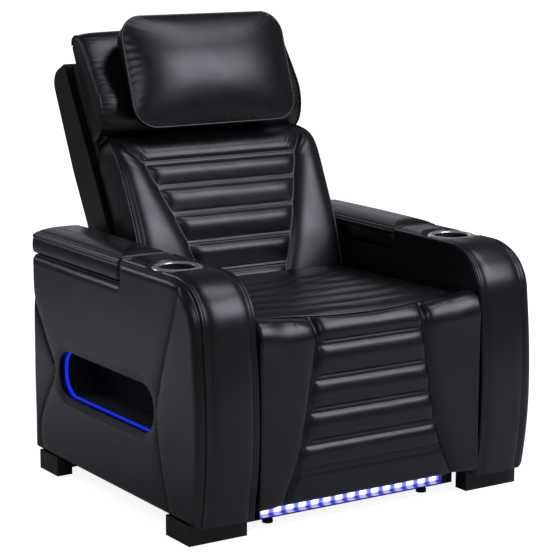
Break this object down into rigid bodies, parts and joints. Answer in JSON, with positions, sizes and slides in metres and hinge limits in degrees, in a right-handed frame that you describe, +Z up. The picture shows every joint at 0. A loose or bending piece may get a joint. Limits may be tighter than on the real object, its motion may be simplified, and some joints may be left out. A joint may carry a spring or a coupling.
{
  "type": "power recliner",
  "caption": "Upholstered armchair with lift-up footrest, reclining back, tilting headrest, lidded storage arms with cup holders and lit side pockets.",
  "frame": {"origin": "on the floor, under the middle of the whole chair", "axes": "+X to the right for someone facing the chair, +Y to the rear, +Z up"},
  "size_m": [0.95, 1.0207, 1.1303],
  "materials": {
    "upholstery": "satin",
    "panel_upholstery": "satin",
    "pocket_liner": "matte",
    "pocket_lamp": "gloss",
    "bin_plastic": "matte",
    "hinge_steel": "satin",
    "cup_chrome": "polished",
    "foot_plastic": "matte",
    "rail_steel": "satin",
    "glide_plastic": "matte",
    "plate_steel": "satin",
    "pin_steel": "satin",
    "cover_cloth": "matte",
    "bar_plastic": "matte",
    "bar_lamps": "gloss",
    "frame_wood": "matte",
    "spring_steel": "satin",
    "drive_plastic": "matte",
    "rod_steel": "satin",
    "supply_plastic": "matte",
    "control_plastic": "satin",
    "switch_plastic": "satin",
    "button_plastic": "gloss"
  },
  "bodies": {
    "chair": {"left_outer_panel": "panel_upholstery", "left_inner_panel": "panel_upholstery", "left_arm_band": "panel_upholstery", "left_arm_rear_board": "panel_upholstery", "left_lid_hinge": "hinge_steel", "left_storage_bin": "bin_plastic", "left_cup_holder": "cup_chrome", "left_side_pocket": "pocket_liner", "left_pocket_light": "pocket_lamp", "left_front_foot": "foot_plastic", "left_rear_foot": "foot_plastic", "left_side_plate": "plate_steel", "right_outer_panel": "panel_upholstery", "right_inner_panel": "panel_upholstery", "right_arm_band": "panel_upholstery", "right_arm_rear_board": "panel_upholstery", "right_lid_hinge": "hinge_steel", "right_storage_bin": "bin_plastic", "right_cup_holder": "cup_chrome", "right_side_pocket": "pocket_liner", "right_pocket_light": "pocket_lamp", "right_front_foot": "foot_plastic", "right_rear_foot": "foot_plastic", "right_side_plate": "plate_steel", "front_rail": "rail_steel", "rear_rail": "rail_steel", "glides": "glide_plastic", "pivot_pins": "pin_steel", "rear_cover": "cover_cloth", "light_bar": "bar_plastic", "light_bar_lamps": "bar_lamps", "seat_frame": "frame_wood", "seat_springs": "spring_steel", "seat_cushion": "upholstery", "footrest_motor": "drive_plastic", "recline_motor": "drive_plastic", "power_supply": "supply_plastic", "control_panel": "control_plastic"},
    "left_lid": {"left_lid": "upholstery", "left_lid_leaf": "hinge_steel"},
    "right_lid": {"right_lid": "upholstery", "right_lid_leaf": "hinge_steel"},
    "footrest": {"footrest_frame": "frame_wood", "footrest_cushion": "upholstery"},
    "drive": {"drive_shaft": "plate_steel"},
    "couplers": {"coupler_links": "plate_steel"},
    "footrest_rod": {"footrest_rod": "rod_steel"},
    "recline_rod": {"recline_rod": "rod_steel"},
    "back": {"back_frame": "frame_wood", "back_shell": "panel_upholstery", "lumbar_cushion": "upholstery", "headrest_motor": "drive_plastic"},
    "head": {"headrest_frame": "frame_wood", "headrest_cushion": "upholstery", "pillow": "upholstery"},
    "headrest_rod": {"headrest_rod": "rod_steel"},
    "recline_switch": {"recline_switch": "switch_plastic"},
    "headrest_switch": {"headrest_switch": "switch_plastic"},
    "light_button": {"light_button": "button_plastic"}
  },
  "joints": [
    {"name": "footrest_swing", "type": "hinge", "parent": "chair", "child": "footrest", "pos_m": [0, -0.48439, 0.489], "axis": [-1, 0, 0], "range_deg": [0, 85]},
    {"name": "drive_swing", "type": "hinge", "parent": "chair", "child": "drive", "pos_m": [0, -0.32039, 0.33], "axis": [-1, 0, 0], "range_deg": [0, 85]},
    {"name": "coupler_swing", "type": "hinge", "parent": "drive", "child": "couplers", "pos_m": [0, -0.24239, 0.091], "axis": [-1, 0, 0], "range_deg": [-85, 0]},
    {"name": "footrest_rod_slide", "type": "slide", "parent": "chair", "child": "footrest_rod", "axis": [0, -1, 0], "range_m": [0, 0.0815]},
    {"name": "back_recline", "type": "hinge", "parent": "chair", "child": "back", "pos_m": [0, 0.13961, 0.415], "axis": [-1, 0, 0], "range_deg": [0, 35]},
    {"name": "recline_rod_slide", "type": "slide", "parent": "chair", "child": "recline_rod", "axis": [0, -1, 0], "range_m": [0, 0.0605]},
    {"name": "headrest_tilt", "type": "hinge", "parent": "back", "child": "head", "pos_m": [0, 0.28432, 0.84318], "axis": [1, 0, 0], "range_deg": [0, 24]},
    {"name": "headrest_rod_slide", "type": "slide", "parent": "back", "child": "headrest_rod", "axis": [0, 0.4305, 0.9026], "range_m": [0, 0.0315]},
    {"name": "left_lid_swing", "type": "hinge", "parent": "chair", "child": "left_lid", "pos_m": [-0.3975, 0.32361, 0.552], "axis": [-1, 0, 0], "range_deg": [0, 95]},
    {"name": "right_lid_swing", "type": "hinge", "parent": "chair", "child": "right_lid", "pos_m": [0.3975, 0.32361, 0.552], "axis": [-1, 0, 0], "range_deg": [0, 95]},
    {"name": "recline_switch_rock", "type": "hinge", "parent": "chair", "child": "recline_switch", "pos_m": [-0.321, -0.29439, 0.566], "axis": [0, 0, 1], "range_deg": [-8, 8], "stiffness_Nm_per_rad": 0.02},
    {"name": "headrest_switch_rock", "type": "hinge", "parent": "chair", "child": "headrest_switch", "pos_m": [-0.321, -0.25239, 0.566], "axis": [0, 0, 1], "range_deg": [-8, 8], "stiffness_Nm_per_rad": 0.02},
    {"name": "light_button_press", "type": "slide", "parent": "chair", "child": "light_button", "axis": [-1, 0, 0], "range_m": [0, 0.0015], "stiffness_N_per_m": 200}
  ],
  "couplings": [
    {"joint": "drive_swing", "follows": "footrest_swing", "ratio": 1},
    {"joint": "coupler_swing", "follows": "footrest_swing", "ratio": -1},
    {"joint": "footrest_rod_slide", "follows": "footrest_swing", "m_per_rad": 0.054647},
    {"joint": "recline_rod_slide", "follows": "back_recline", "m_per_rad": 0.098452},
    {"joint": "headrest_rod_slide", "follows": "headrest_tilt", "m_per_rad": 0.07445}
  ]
}
